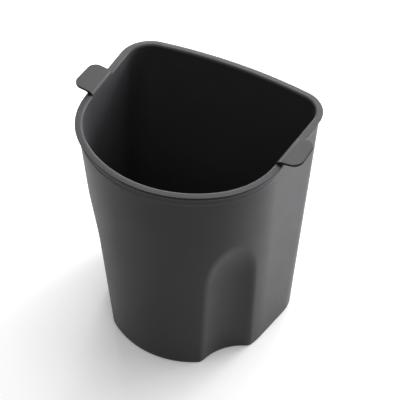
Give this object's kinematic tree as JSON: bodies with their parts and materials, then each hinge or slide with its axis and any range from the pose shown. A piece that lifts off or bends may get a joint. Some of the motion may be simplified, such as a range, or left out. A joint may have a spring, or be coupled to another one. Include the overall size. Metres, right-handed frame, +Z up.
{
  "type": "armrest storage box",
  "caption": "D-shaped moulded bin that drops into a car armrest, with a stepped rim, lift-out tabs and scooped grooves.",
  "frame": {"origin": "centre of the footprint of the whole part, on the surface the foot stands on", "axes": "+Z up through the open top, +Y towards the bowed back wall, -Y towards the round front, tabs along X"},
  "size_m": [0.167, 0.1354, 0.1833],
  "materials": {
    "moulded_plastic": "fine matt moulded texture"
  },
  "bodies": {
    "root": {"storage_box": "moulded_plastic"}
  },
  "joints": []
}
